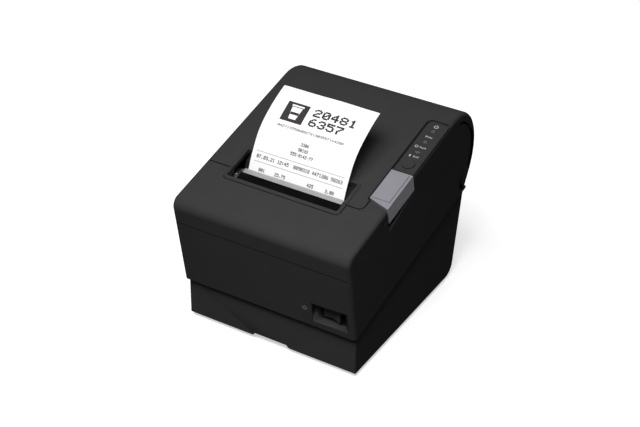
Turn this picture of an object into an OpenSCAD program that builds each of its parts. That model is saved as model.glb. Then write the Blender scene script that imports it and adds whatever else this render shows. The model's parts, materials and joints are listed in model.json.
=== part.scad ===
// Desktop receipt printer: thermal, clamshell lid, sliding front cover, paper cutter.
// Millimetres, +Z up, front face towards -Y, origin on the table under the middle of the box.

/* [Cases] */
// Width of the upper case
case_w = 145; // [144:0.5:147]
// Width of the lower case
base_w = 142; // [140:0.5:142]
// Wall thickness of the cases
wall = 2.5; // [2.2:0.1:2.6]
// Gap along the case seams
gap = 0.5; // [0.4:0.1:0.6]
// Slope of the top face, degrees
top_tilt = 13.28; // [13.2:0.02:13.36]
// Depth of the side skirts of lid and front cover
skirt = 8.5; // [8:0.1:8.6]
// Radius of the nose between front and top
nose_r = 8; // [7:0.5:8.5]

/* [Paper] */
// Width of the paper
paper_w = 79.5; // [79:0.5:80]
// Outer diameter of the full paper roll
roll_d = 80; // [60:1:80]
// Thickness of the paper
paper_t = 0.12; // [0.1:0.01:0.14]

/* [Controls] */
// Diameter of the feed button
button_d = 9; // [8:0.2:9.2]
// Diameter of the indicator lenses
lens_d = 3; // [2.4:0.1:3.4]
// Width of the power switch pocket
pocket_w = 26; // [25:0.5:27]
// Height of the power switch pocket
pocket_h = 16; // [15:0.5:16.5]

/* [Mechanism] */
// Diameter of the rubber on the platen
platen_d = 12; // [11.6:0.1:12]
// Gear module of both gear trains
gear_m = 0.8; // [0.8:0.01:0.81]
// Travel of the cutter blade
blade_travel = 4.4; // [4.2:0.1:4.4]
// Diameter of the rubber feet
foot_d = 14; // [11:0.5:15]

/* [Hidden] */
$fn = 48;
hw = case_w/2;
bw = base_w/2;
ta = top_tilt;
ct = cos(ta);
st = sin(ta);
// the sloping top plane meets y = 0 at this height
top_z = 133.3;
arc_step = 4.5;
// front face: leans out towards the top
front_y = -85.5;
front_z = 35;
front_k = 0.177;
front_a = 90 + atan(front_k);
cover_z = 90.9;
cover_y = -53.2;
cover_side_y = -86.4;
lid_y = cover_y + 0.5;
crest_y = 62;
rear_r = [15, 72, 30, 46];
rear_turn = [ta + 33, 19, 38, 42];
// lid hinge
axis_y = 80;
axis_z = 86;
hinge_r = 4.5;
pin_r = 1.5;
run = 0.06;
// right-hand strip with the lever and the control panel
deck_x = hw - 17.7;
ctl_x = hw - 9;
lens_x = hw - 9.2;
deck_back = 47;
panel_back = 46.4;
// paper path
xc = -4.1;
pw = paper_w/2;
// half length of the platen rubber and the tear bar, inner faces of the roll holder
rub = pw + 1.45;
hold = pw + 2.45;
// outer face of the left mechanism plate, inner face of the right one
mech_l = pw + 7.75;
mech_r = pw + 6.55;
plat = [-37, 100.5];
pr = platen_d/2;
roll = [30, 84];
rr = roll_d/2;
cut_lo = 111.4;
cut_hi = 113.4;
feed_y = plat[0] - pr - 0.12;
// cutter heights below the sloping top
blade_h = 10.9;
blade_t = 0.8;
bar_h = 6.5;
tip_yl = -45.3;
// feed gear train
n_platen = 20;
n_idler = 50;
n_pinion = 12;
gx0 = xc - mech_l - 6.4;
gx1 = xc - mech_l - 2.9;
lift_a = atan2(axis_y - plat[0], plat[1] - axis_z);
idler = plat - gear_m*(n_platen + n_idler)/2*[cos(lift_a), sin(lift_a)];
psi_p = lift_a;
psi_m = 195.9;
motor = idler + gear_m*(n_idler + n_pinion)/2*[cos(psi_m), sin(psi_m)];
// cutter gear train
n_rack = 24;
rack_x = -22;
cut_yl = -76;
cut_gx = rack_x + gear_m*n_rack/2;
cut_px = cut_gx + gear_m*(n_rack + n_pinion)/2;
// latch and lever pivots
latch = [-54, 86];
lever_yl = -14;
lever_h = 8;
// power switch
sw_x = hw - 19.5;
sw_z = 50;
sw_y = -80.5;
// electronics
pcb_z = 14;
pcb_t = 1.6;
bay_y = 64.5;
// supports that stand on the base floor: [x, y, top]
posts = [[-34, 14, 38.5], [26, 14, 38.5], [-34, 42, 38.5], [26, 42, 38.5],
    [-45, -70, 47], [37, -70, 47], [-45, -51, 47], [37, -51, 47]];
pcb_x = bw - 12.5;
board_x = bw - 17;
board_pts = [[-board_x, -62], [board_x, -62], [-board_x, 44], [board_x, 44]];
tower_x = bw - 6.4;
tower_pts = [[-tower_x, -56], [tower_x, -56], [-tower_x, 60], [tower_x, 60]];
foot_pts = [[15 - bw, -66], [bw - 13, -66], [15 - bw, 48], [bw - 13, 48]];
lens_ys = [13.2, 24.8, 36.7];
button_y = -0.3;

charcoal = [0.13, 0.13, 0.135];
black = [0.06, 0.06, 0.065];
steel = [0.66, 0.67, 0.69];
silver_grey = [0.60, 0.60, 0.63];
paper_white = [0.95, 0.95, 0.94];
board_green = [0.10, 0.36, 0.22];

// ---------- shared shapes ----------
function unit(a) = [cos(a), sin(a)];
function side(a) = [sin(a), -cos(a)];
function front_at(z) = front_y - front_k*(z - front_z);
function plane_z(y, h = 0) = top_z + y*tan(ta) - h/ct;
function deep(y, h) = [y + h*st, plane_z(y) - h*ct];
function seam_z(y) = 55.6 + 0.235*y;
function rear_at(z) = 71 + 0.16*(z - 14);
function rev(l) = [for (i = [len(l) - 1:-1:0]) l[i]];
function arc_pts(p, a, r, t, n) =
    [for (i = [1:n]) p + r*[sin(a) - sin(a - t*i/n), cos(a - t*i/n) - cos(a)]];
// a run of straights and clockwise arcs; each step is [straight, radius, turn]
function chain(p, a, s, i = 0) =
    i >= len(s) ? [] :
    let (q = p + s[i][0]*unit(a), n = max(1, ceil(s[i][2]/arc_step)),
        arc = s[i][2] > 0 ? arc_pts(q, a, s[i][1], s[i][2], n) : [],
        e = s[i][2] > 0 ? arc[n - 1] : q)
    concat(s[i][0] > 0 ? [q] : [], arc, chain(e, a - s[i][2], s, i + 1));
function inset(s, d) = [for (e = s) [e[0], max(e[1] - d, 0.01), e[2]]];
function edge(p, a, s, d) = concat([p + d*side(a)], chain(p + d*side(a), a, inset(s, d)));
function band(p, a, s, d) = concat(edge(p, a, s, 0), rev(edge(p, a, s, d)));
function rear_steps(y, last) = [[(crest_y - y)/ct, rear_r[0], rear_turn[0]],
    [0, rear_r[1], rear_turn[1]], [0, rear_r[2], rear_turn[2]], [0, rear_r[3], last]];
// corner where the front line would meet the top line
corner_y = (front_y - front_k*(top_z - front_z))/(1 + front_k*tan(ta));
corner_z = plane_z(corner_y);
nose_turn = front_a - ta;
nose_t = nose_r*tan(nose_turn/2);
nose_steps = [[(corner_z - cover_z)/sin(front_a) - nose_t, nose_r, nose_turn],
    [(cover_y - corner_y)/ct - nose_t, 1, 0]];
cover_lo = [front_at(cover_z), cover_z];
// depth of the front seam below the sloping top
seam_h = (plane_z(cover_lo[0]) - cover_z)*ct;

module slab(x0, x1) {
    translate([x0, 0, 0]) rotate([90, 0, 90]) linear_extrude(height = x1 - x0) children();
}
module tilt() {
    translate([0, 0, top_z]) rotate([ta, 0, 0]) children();
}
module box(a, b) {
    translate(a) cube(b - a);
}
module xrod(x0, x1, p, r) {
    translate([x0, p[0], p[1]]) rotate([0, 90, 0]) cylinder(h = x1 - x0, r = r);
}
module zrod(x, y, z0, z1, r) {
    translate([x, y, z0]) cylinder(h = z1 - z0, r = r);
}
module rrect(x0, x1, y0, y1, r) {
    translate([x0 + r, y0]) square([x1 - x0 - 2*r, y1 - y0]);
    translate([x0, y0 + r]) square([x1 - x0, y1 - y0 - 2*r]);
    for (x = [x0 + r, x1 - r]) for (y = [y0 + r, y1 - r]) translate([x, y]) circle(r = r);
}
module gear2d(n, rot) {
    r = gear_m*n/2;
    root = r - 1.1*gear_m;
    tip = r + 0.75*gear_m;
    w = 0.18*PI*gear_m;
    circle(r = root);
    for (i = [0:n - 1]) rotate(rot + i*360/n)
        polygon([[root - 0.4, -w - 0.22], [tip, -w + 0.16], [tip, w - 0.16], [root - 0.4, w + 0.22]]);
}
module spring(h, r, wire, turns) {
    linear_extrude(height = h, twist = -360*turns, slices = 12*turns, $fn = 8)
        translate([r, 0]) circle(r = wire, $fn = 6);
}

// ---------- lower case ----------
rear_c = [rear_at(11.76) - 10.86, 13.5];
function base_arc(r) = [for (i = [0:9]) rear_c + r*unit(-90 + i*80.9/9)];
base_outer = concat([[-82, seam_z(-82) - gap/2], [-82, 4], [-80.5, 2.5]], base_arc(11),
    [[rear_at(74), seam_z(rear_at(74)) - gap/2]]);
base_inner = concat([[-82 + wall, 90], [-82 + wall, 2.5 + wall]], base_arc(11 - wall),
    [[rear_at(110) - wall, 110]]);

module base_case() {
    color(black) difference() {
        union() {
            difference() {
                slab(-bw, bw) polygon(base_outer);
                slab(-bw + wall, bw - wall) polygon(base_inner);
            }
            box([-20, -80.5, 4], [20, -72, 8.5]);
            box([-bw + 1, -40, 4], [-bw + wall + 1.5, -37, 44]);
            box([bw - wall - 1.5, -40, 4], [bw - 1, -37, 44]);
            box([-bw + 1, 10, 4], [-bw + wall + 1.5, 13, 54]);
            box([bw - wall - 1.5, 10, 4], [bw - 1, 13, 54]);
        }
        // finger notch under the front edge
        translate([0, -74, 0]) rotate([90, 0, 0]) linear_extrude(height = 12)
            polygon([[-17, 2], [17, 2], [13.5, 6], [-13.5, 6]]);
        // connector bay in the rear wall
        box([-60, bay_y + 2.6, 8.2], [60, 90, 44]);
        // hatch in the floor
        box([-8, -34, 0], [40, -6, 4]);
        box([0, -30, 0], [36, -10, 9]);
        for (p = tower_pts) zrod(p[0], p[1], 0, 8, 3.3);
        for (p = foot_pts) zrod(p[0], p[1], 0, 3.3, foot_d/2);
        zrod(-4, -20, 3, 4.5, 1.2);
    }
}

// pillars that stand on the base floor, for the board, the mechanism, the roll holder and the case screws
floor_z = 2.5 + wall;
module support_posts() {
    color(black) difference() {
        union() {
            for (p = posts) zrod(p[0], p[1], floor_z, p[2], 3.5);
            for (p = board_pts) zrod(p[0], p[1], floor_z, pcb_z, 3.2);
            intersection() {
                union() {
                    for (p = tower_pts) zrod(p[0], p[1], floor_z, 20, 4.6);
                }
                slab(-bw + wall, bw - wall) polygon(base_inner);
            }
        }
        for (p = tower_pts) {
            zrod(p[0], p[1], 0, 8, 3.3);
            zrod(p[0], p[1], 0, 30, 1.7);
        }
        for (p = board_pts) zrod(p[0], p[1], 6, 20, 1.2);
    }
}

module bottom_hatch() {
    color(black) {
        difference() {
            box([-7.7, -33.7, 2.7], [39.7, -6.3, 4]);
            zrod(-4, -20, 2, 6, 1.5);
        }
        box([0.3, -29.7, 4], [35.7, -29, 6.5]);
        box([0.3, -11, 4], [35.7, -10.3, 6.5]);
    }
}

module rubber_feet() {
    color([0.1, 0.1, 0.1]) for (p = foot_pts) {
        zrod(p[0], p[1], 0, 3.3, foot_d/2 - 0.2);
    }
}

// ---------- outline of the deck, seen along the slope normal ----------
corner_r = 4;
deck_end = deck_back/ct;
corner_c = [deck_x + corner_r, deck_end - corner_r];
panel_end = panel_back/ct - 0.3;
panel_c = [deck_x + corner_r, panel_end + 0.3 - corner_r + 0.3];
// front edge of the lever, and the lobe of the lid beside it
function lever_front(x) = -41.6 - 0.322*(x - deck_x - gap);
lever_gap = 0.9;
lobe_x = deck_x + 1.5;
lobe_c = [lobe_x - corner_r, lid_y/ct + corner_r];
tongue_back = -48.4;
tongue_r = lobe_c[1] - cover_y/ct;
module tilt_prism(z0, z1) {
    tilt() translate([0, 0, z0]) linear_extrude(height = z1 - z0) children();
}
module lid_cut_outline() {
    polygon(concat([[deck_x - gap, -80], [hw + 1, -80], [hw + 1, deck_end + gap]],
        [for (i = [0:8]) corner_c + (corner_r + gap)*unit(90 + i*90/8)]));
}
module lobe_outline() {
    polygon(concat([[lobe_c[0] - 3, -58], [lobe_c[0] + corner_r*cos(80), -58]],
        [for (i = [0:8]) lobe_c + corner_r*unit(-80 + i*10)],
        [[lobe_x, lever_front(lobe_x) - lever_gap], [lobe_c[0] - 3, lever_front(lobe_x) - lever_gap]]));
}

// ---------- upper case ----------
main_steps = [[(crest_y + 86)/ct, rear_r[0], rear_turn[0]], [0, rear_r[1], rear_turn[1]],
    [0, rear_r[2], rear_turn[2]], [0, rear_r[3], 34]];
main_top = edge([-86, plane_z(-86)], ta, main_steps, skirt + gap);
main_outer = concat([[front_at(35.4), seam_z(-85.5) + gap/2],
    [front_at(cover_z - gap), cover_z - gap], [-86, plane_z(-86, seam_h + gap)],
    [-86, plane_z(-86, skirt + gap)]], main_top,
    [[rear_at(76.5) + 0.2, 76.5], [rear_at(75) + 0.2, seam_z(rear_at(75)) + gap/2]]);

module deck_block() {
    difference() {
        slab(deck_x, hw) polygon([deep(-52.7, 0), deep(deck_back, 0), deep(deck_back, 16), deep(-52.7, 16)]);
        slab(deck_x + 2, hw - wall) polygon([deep(-50.4, 2.3), deep(-9.4, 2.3), deep(-9.4, 4.4),
            deep(deck_back - wall, 4.4), deep(deck_back - wall, 30), deep(-50.4, 30)]);
        // rounded rear corner, and the seat of the control panel
        tilt_prism(-17, 1) polygon(concat([for (i = [0:8]) corner_c + corner_r*unit(180 - i*10)],
            [[corner_c[0] + corner_r*cos(100), deck_end + 1], [deck_x - 1, deck_end + 1],
            [deck_x - 1, corner_c[1]]]));
        tilt_prism(-2, 5) polygon(concat([[hw - 0.5, -8.7/ct], [hw - 0.5, panel_end + 0.3]],
            [for (i = [0:6]) panel_c + (corner_r - 0.3)*unit(90 + i*15)], [[deck_x + 0.3, -8.7/ct]]));
        tilt() {
            for (y = lens_ys) zrod(lens_x, y/ct, -9, 1, lens_d/2 + 0.4);
            zrod(ctl_x, button_y/ct, -9, 1, button_d/2 + 0.6);
        }
    }
}

module main_case() {
    color(charcoal) difference() {
        union() {
            difference() {
                slab(-hw, hw) polygon(main_outer);
                slab(-hw + wall, hw - wall) polygon([[front_at(20) + wall, 20],
                    [front_at(130) + wall, 130], [-60, 170], [90, 170], [90, 78],
                    [rear_at(75) - wall, 75], [rear_at(60) - wall, 20]]);
            }
            deck_block();
            // rear cross wall behind the paper roll, with the strip over the base
            box([-bw + wall + 0.3, 74.3, 66], [bw - wall - 0.3, 76.5, 76.5]);
            slab(-hw + 1, hw - 1) polygon([[74.3, 75.1], [rear_at(76) + 0.2, 75.1], [rear_at(76.5) + 0.2, 76.5],
                [74.3, 76.5]]);
            // hinge lugs
            for (x = [-61.5, 57.5]) slab(x, x + 4) {
                translate([axis_y, axis_z]) circle(r = hinge_r);
                polygon([[68.5, 70], [75, 70], [75, 76.4], [72.2, 79.6], [72.2, 83.6], [79.2, 81.6],
                    [80, 90.5], [70, 90.5], [68.5, 88]]);
            }
            // pocket of the power switch
            box([sw_x - pocket_w/2 - 1.8, -90, sw_z - pocket_h/2 - 1.8],
                [sw_x + pocket_w/2 + 1.8, sw_y + 2, sw_z + pocket_h/2 + 1.8]);
            // screw towers
            for (p = tower_pts) {
                zrod(p[0], p[1], 20.1, seam_z(p[1]) + 16, 3.6);
                box([p[0] > 0 ? tower_x : -hw + 1, p[1] - 1.2, seam_z(p[1]) + 1.5],
                    [p[0] > 0 ? hw - 1 : -tower_x, p[1] + 1.2, seam_z(p[1]) + 15]);
            }
        }
        // keep the pocket behind the leaning front face
        slab(-hw - 1, hw + 1) polygon([[front_at(20), 20], [front_at(100), 100], [-130, 100], [-130, 20]]);
        box([sw_x - pocket_w/2, -110, sw_z - pocket_h/2], [sw_x + pocket_w/2, sw_y, sw_z + pocket_h/2]);
        box([sw_x - 9, -110, sw_z - 5.6], [sw_x + 9, sw_y + 9, sw_z + 5.6]);
        // corners that the lid swings through
        slab(-hw - 1, -hw + wall + 0.01) translate([axis_y, axis_z]) circle(r = 8.5);
        slab(hw - wall - 0.01, hw + 1) translate([axis_y, axis_z]) circle(r = 8.5);
        xrod(-63, 63, [axis_y, axis_z], pin_r + run);
        for (x = [-hw - 1, hw - wall - 0.01]) slab(x, x + wall + 1.01)
            polygon([[75.5, 76.5], [92, 76.5], [92, 86], [80, 86]]);
        for (p = tower_pts) zrod(p[0], p[1], 19, 32, 1.5);
        // opening for the lever, with room for its travel
        tilt() {
            slab(deck_x + 1.9, hw + 1) polygon([[tongue_back, 1], [tongue_back, -13.5], [-9.4, -13.5], [-9.4, 1]]);
            slab(deck_x - 1, deck_x + 3) polygon([[tongue_back, 1], [tongue_back, -8.6], [-9.4, -3.6],
                [-9.4, 1]]);
            slab(hw - 5, hw + 2) polygon([[tongue_back, -13], [-9.4, -13], [-12, -14], [-46.7, -19.5],
                [tongue_back, -19.5]]);
            // room for the tongue of the front cover
            box([deck_x - 1, -60, -wall - gap], [hw + 1, tongue_back + 0.1, 5]);
            box([hw - wall - 0.3, -60, -skirt - gap + 0.05], [hw + 1, tongue_back + 0.1, 5]);
        }
        slab(deck_x + 3.2, deck_x + 5.2) translate(lever_c) circle(r = 1.6);
        slab(deck_x + 11.2, deck_x + 13.2) translate(lever_c) circle(r = 1.6);
    }
}

// ---------- front cover ----------
cover_edge = edge(cover_lo, front_a, nose_steps, 0);
module cover_side(x0, x1) {
    slab(x0, x1) polygon(concat(cover_edge, [cover_edge[len(cover_edge) - 1] + skirt*side(ta),
        [cover_side_y, plane_z(cover_side_y, skirt)], [cover_side_y, plane_z(cover_side_y, seam_h)]]));
}
module slot_ring(y0, y1, depth) {
    intersection() {
        translate([0, 0, -depth]) linear_extrude(height = depth + 1.2) difference() {
            rrect(-51.6, 43.6, -65.6, -31.6, 3.2);
            rrect(-49.5, 41.5, -63.5, -33.7, 1.4);
        }
        box([-60, y0, -depth], [60, y1, 3]);
    }
}
module front_cover() {
    color(charcoal) {
        difference() {
            union() {
                slab(-hw, hw) polygon(band(cover_lo, front_a, nose_steps, wall));
                cover_side(-hw, -hw + wall);
                cover_side(hw - wall, hw);
            }
            tilt() box([-50.5, -64.5, -20], [42.5, -40, 4]);
        }
        // tongue between the lid and the lever
        tilt_prism(-wall + 0.05, -0.05) polygon(concat([[lobe_c[0] + tongue_r*cos(75), cover_y/ct - 0.5],
            [hw - 0.1, cover_y/ct - 0.5], [hw - 0.1, lever_front(hw) - lever_gap],
            [lobe_c[0] + tongue_r, lever_front(lobe_x) - lever_gap]],
            [for (i = [0:5]) lobe_c + tongue_r*unit(-i*15)]));
        tilt() box([hw - wall + 0.05, cover_y/ct - 0.5, -skirt + 0.05],
            [hw - 0.05, lever_front(hw) - lever_gap - 0.05, -0.1]);
        tilt() {
            slot_ring(-70, cover_y/ct, 4);
            for (x = [-60, 52]) box([x, -92, -5.2], [x + 2, -70, -wall + 0.4]);
        }
    }
}

// ---------- lid ----------
lid_p = [lid_y, plane_z(lid_y)];
lid_steps = rear_steps(lid_y, rear_turn[3]);
back_p = [deck_back - 2, plane_z(deck_back - 2)];
module lid_shell() {
    color(charcoal) {
        difference() {
            union() {
                slab(-hw, hw) polygon(band(lid_p, ta, lid_steps, wall));
                slab(-hw, -hw + wall) polygon(band(lid_p, ta, lid_steps, skirt));
                slab(hw - wall, hw) polygon(band(back_p, ta, rear_steps(back_p[0], rear_turn[3]), skirt));
                slab(deck_x - 2.4, deck_x - 0.8) polygon([[lid_y + 2, plane_z(lid_y + 2, 1)],
                    [43, plane_z(43, 1)], [43, plane_z(43, 6)], [-32, plane_z(-32, 6)],
                    [lid_y + 3.2, plane_z(lid_y + 3.2, 4)]]);
                // discs that close the side walls at the hinge
                for (x = [-hw, hw - wall]) slab(x, x + wall) translate([axis_y, axis_z]) circle(r = 8);
                // knuckles of the hinge
                for (x = [-66, 62]) slab(x, x + 4) {
                    translate([axis_y, axis_z]) circle(r = hinge_r);
                    polygon([[79, 90.4], [83.4, 83.1], [86, 85.2], [94.6, 103], [90, 103]]);
                }
            }
            // the deck's bay, with the lobe beside the lever left standing
            tilt_prism(-60, 10) difference() {
                union() {
                    lid_cut_outline();
                    translate([lobe_c[0] - 1, -57]) square([corner_r + 2, 57 + lobe_c[1]]);
                }
                lobe_outline();
            }
            tilt_prism(-60, -wall + 0.1) translate([deck_x - gap - 0.15, -80])
                square([30, 80 + lever_front(lobe_x)]);
            // rear edge of the lobe leans forward, so that it swings clear of the lever
            tilt() slab(deck_x - gap + 0.2, lobe_x + 1) polygon([[lever_front(lobe_x) - lever_gap - 2.2, -wall - 1],
                [lever_front(lobe_x) - lever_gap, -0.6], [lever_front(lobe_x) + 3, -0.6],
                [lever_front(lobe_x) + 3, -wall - 1]]);
            tilt() box([-50.5, -70, -20], [42.5, -32.6, 4]);
            xrod(-67, 67, [axis_y, axis_z], pin_r);
        }
        tilt() slot_ring(lid_y/ct, -20, wall);
    }
}

arm_pts = [[-41.8, 100.5], [-39.5, 117.5], [-33, 122.7], [-24, 124.8], [-22, 112], [-31.4, 99]];
module lid_frame() {
    color(black) {
        difference() {
            union() {
                // plate and ribs under the lid
                tilt() {
                    box([-62, -24.5, -4.5], [50, 56, -wall - 0.02]);
                    for (x = [-58, -40, -4, 32, 46]) box([x, -24.5, -8.5], [x + 2, 52, -4.5]);
                    for (y = [-24.5, 10, 50]) box([-58, y, -7.5], [48, y + 2, -4.5]);
                }
                // beam behind the paper and the two platen arms
                slab(xc - rub - 2.8, xc + rub + 2.8) polygon([[-41.4, plane_z(-41.4, blade_h - blade_t - 1.22)], [-38, 120.6],
                    [-33, 122.7], [-23, 125.0], [-23, 118], [-31, plane_z(-31, blade_h - blade_t - 1.22)]]);
                for (x = [-rub - 2.8, rub + 0.8]) slab(xc + x, xc + x + 2) {
                    polygon(arm_pts);
                    translate(plat) circle(r = 5.5);
                }
            }
            xrod(xc - 60, xc + 60, plat, 3.06);
        }
    }
}

module hinge_pins() {
    color(steel) for (x = [-66.4, 57.2]) xrod(x, x + 9.2, [axis_y, axis_z], pin_r);
}

// ---------- lever, panel and controls ----------
lever_c = [lever_yl*ct + lever_h*st, top_z + lever_yl*st - lever_h*ct];
module open_lever() {
    color(silver_grey) difference() {
        union() {
            tilt() {
                for (p = [[deck_x + 0.5, hw - 0.1, -3, 0.5], [hw - 2.4, hw - 0.1, -13, -1], [hw - 2.4, hw, -8.6, -6.8]])
                    translate([0, 0, p[2]]) linear_extrude(height = p[3] - p[2])
                        polygon([[p[0], lever_front(p[0])], [p[1], lever_front(p[1])], [p[1], -10], [p[0], -10]]);
                box([deck_x + 3.2, lever_front(deck_x + 3.2) + 1.2, -8], [deck_x + 5, -20, -2.5]);
            }
            // pivot ears and the finger that works the latch
            for (x = [deck_x + 5.6, deck_x + 8.8]) slab(x, x + 2) {
                translate(lever_c) circle(r = 3.6);
                translate(lever_c) rotate(ta) translate([-3.4, 0]) square([6.8, 6]);
            }
            slab(deck_x + 2.4, deck_x + 5.4) polygon([[-39.5, 120.9], [-34, 122.6], [-38, 108], [-42, 100], [-46, 97],
                [-58, 94.6], [-62, 94.8], [-62, 98.4], [-60, 98.6], [-49, 101.6], [-46.4, 106]]);
        }
        xrod(deck_x + 4.2, deck_x + 12.2, lever_c, 1.56);
    }
}

module lever_pin() {
    color(steel) xrod(deck_x + 5.4, hw - 2.6, lever_c, 1.5);
}

module control_panel() {
    color([0.09, 0.09, 0.1]) tilt() difference() {
        translate([0, 0, -1.9]) linear_extrude(height = 1.95)
            polygon(concat([[hw - 0.7, -8.4/ct], [hw - 0.7, panel_end]],
                [for (i = [0:6]) panel_c + (corner_r - 0.6)*unit(90 + i*15)], [[deck_x + 0.6, -8.4/ct]]));
        for (y = lens_ys) zrod(lens_x, y/ct, -3, 1, lens_d/2);
        zrod(ctl_x, button_y/ct, -3, 1, button_d/2 + 0.3);
    }
}

module feed_button() {
    color([0.16, 0.16, 0.17]) tilt() {
        zrod(ctl_x, button_y/ct, -6.4, 0.7, button_d/2);
        zrod(ctl_x, button_y/ct, -6.4, -5, button_d/2 + 0.45);
    }
}

module status_lenses() {
    color([0.45, 0.62, 0.45]) tilt() for (y = lens_ys) {
        zrod(lens_x, y/ct, -9.4, 0.15, lens_d/2);
    }
}

module panel_board() {
    tilt() {
        color(board_green) box([deck_x + 2.4, -7, -12], [hw - 3.1, 42, -10.8]);
        color(black) box([ctl_x - 3, -3.3, -10.8], [ctl_x + 3, 2.7, -7.7]);
        color(paper_white) for (y = lens_ys)
            box([lens_x - lens_d/2, y/ct - lens_d/2, -10.8], [lens_x + lens_d/2, y/ct + lens_d/2, -9.4]);
        color(black) box([deck_x + 3.2, 30, -15], [deck_x + 5.2, 40, -12]);
    }
}

module power_rocker() {
    color([0.12, 0.12, 0.125]) translate([sw_x, sw_y + 2, sw_z - 4.3]) rotate([0, 0, -8]) difference() {
        linear_extrude(height = 8.6) {
            polygon([[-7, -5.4], [-6.6, -5.6], [0, -3.9], [6.6, -5.6], [7, -5.4], [7, -3], [2.4, 2], [-2.4, 2],
                [-7, -3]]);
        }
        translate([0, 0, -1]) cylinder(h = 11, r = 1.3);
    }
}

module power_switch() {
    color(black) difference() {
        union() {
            box([sw_x - 10.5, sw_y - 0.9, sw_z - 7], [sw_x + 10.5, sw_y, sw_z + 7]);
            box([sw_x - 8.9, sw_y, sw_z - 5.5], [sw_x + 8.9, sw_y + 17, sw_z + 5.5]);
            for (x = [-5, 5]) box([sw_x + x - 2, sw_y + 17, sw_z - 0.4], [sw_x + x + 2, sw_y + 24, sw_z + 0.4]);
        }
        box([sw_x - 8, sw_y - 3, sw_z - 4.6], [sw_x + 8, sw_y + 8, sw_z + 4.6]);
    }
    color(steel) zrod(sw_x, sw_y + 2, sw_z - 4.6, sw_z + 4.6, 1.24);
}

// ---------- paper ----------
c_roll = [30, 85.3];
pa = atan2(roll[1] - plat[1], roll[0] - plat[0]);
web_r1 = pr + 0.12;
web_r2 = rr + 0.12;
web_a = pa - acos((web_r1 - web_r2)/norm(roll - plat));
web_p1 = plat + web_r1*unit(web_a);
web_p2 = roll + web_r2*unit(web_a);
function web_at(t, k) = web_p1 + t*(web_p2 - web_p1) + k*unit(web_a);
function web_side(d) = concat([roll + (web_r2 + d)*unit(web_a)],
    [for (i = [0:10]) plat + (web_r1 + d)*unit(web_a - i*(180 + web_a)/10)], [[plat[0] - web_r1 - d, cut_lo]]);

module roll_holder() {
    color(black) difference() {
        union() {
            // cradle under the roll and the sloping paper guide
            slab(xc - hold, xc + hold) {
                polygon(concat([for (i = [0:24]) c_roll + (rr + 1.5)*unit(3 - i*134/24)],
                    [for (i = [24:-1:0]) c_roll + (rr + 3.5)*unit(3 - i*134/24)]));
                polygon([web_at(1, 1.2), web_at(0.06, 1.2), web_at(0.06, 3), web_at(1.02, 3)]);
                polygon([[5, 38.5], [55, 38.5], [55, 41], [44, 44], [30, 42.4], [16, 44], [5, 41]]);
            }
            for (x = [-hold - 2, hold]) slab(xc + x, xc + x + 2)
                polygon([[-11, 66], [4, 46], [5, 38.5], [55, 38.5], [66, 52], [73.8, 70], [73.8, 92],
                    [64, plane_z(64, 14.5)], [-11, plane_z(-11, 14.5)]]);
            // ledges beside the roll
            slab(-hw + wall + 0.3, xc - hold) polygon([[-11, plane_z(-11, 16.5)], [-11, plane_z(-11, 14.5)],
                [64, plane_z(64, 14.5)], [64, plane_z(64, 16.5)]]);
            slab(xc + hold, deck_x - 0.3) polygon([[-11, plane_z(-11, 16.5)], [-11, plane_z(-11, 14.5)],
                [64, plane_z(64, 14.5)], [64, plane_z(64, 16.5)]]);
        }
        // windows for the two paper sensors
        slab(xc - 4, xc + 4) polygon([web_at(0.42, 0), web_at(0.58, 0), web_at(0.58, 4), web_at(0.42, 4)]);
        xrod(xc - hold - 8, xc - hold + 2, [12, 64], 2.5);
        for (i = [0:3]) zrod(posts[i][0], posts[i][1], 38, 40.5, 1.2);
    }
}

module paper_roll() {
    color(paper_white) difference() {
        xrod(xc - pw, xc + pw, roll, rr, $fn = 96);
        xrod(xc - pw - 1, xc + pw + 1, roll, 9);
    }
}

module roll_core() {
    color([0.72, 0.6, 0.44]) difference() {
        xrod(xc - pw, xc + pw, roll, 9);
        xrod(xc - pw - 1, xc + pw + 1, roll, 6.3);
    }
}

module paper_web() {
    color(paper_white) slab(xc - pw, xc + pw)
        polygon(concat(web_side(-paper_t/2), rev(web_side(paper_t/2))));
}

receipt_steps = [[0, 120, 12], [0, 45, 22], [0, 110, 16]];
module receipt() {
    color(paper_white) slab(xc - pw, xc + pw)
        polygon(band([feed_y - paper_t/2, cut_hi], 70, receipt_steps, paper_t));
}

// ---------- print mechanism ----------
module mech_frame() {
    color(steel) difference() {
        union() {
            for (x = [-mech_l, mech_r]) slab(xc + x, xc + x + 1.2)
                polygon([[-76, 47], [-44, 47], [-26, 62], [-22, 98], [-30, 103], [-46, 106.5],
                    [-77.8, plane_z(-77.8, 13.2)], [-77.8, 58]]);
            box([xc - mech_l + 0.5, -76, 47], [xc + mech_r + 0.7, -47.5, 48.2]);
            box([xc - mech_l + 0.5, -58.2, 91], [xc + mech_r + 0.7, -57, 104.5]);
        }
        // open notches that take the platen bearings from above
        slab(xc - 60, xc + 60) {
            translate(plat) circle(r = 4.9);
            translate(plat) rotate(-9.5) translate([-4.8, 0]) square([10.4, 30]);
        }
        xrod(xc - 60, xc + 60, latch, 2.06);
        xrod(xc - 60, xc, idler, 2.5);
        xrod(xc - 60, xc, motor, 6);
        for (i = [4:7]) zrod(posts[i][0], posts[i][1], 46, 52, 1.2);
    }
}

module print_head() {
    color([0.85, 0.82, 0.74]) box([xc - pw - 2.25, -44.6, 92], [xc + pw + 2.25, feed_y - 0.1, 107.4]);
    color(black) box([xc - pw - 1.25, -44.6, 83.5], [xc + pw + 1.25, -41.4, 90.5]);
}

module head_heatsink() {
    color(silver_grey) difference() {
        box([xc - pw - 3.75, -50.6, 82.5], [xc + pw + 3.75, -44.6, 107]);
        for (x = [-36:8:36]) box([xc + x, -51, 92.5], [xc + x + 4, -48, 96.5]);
    }
}

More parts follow.
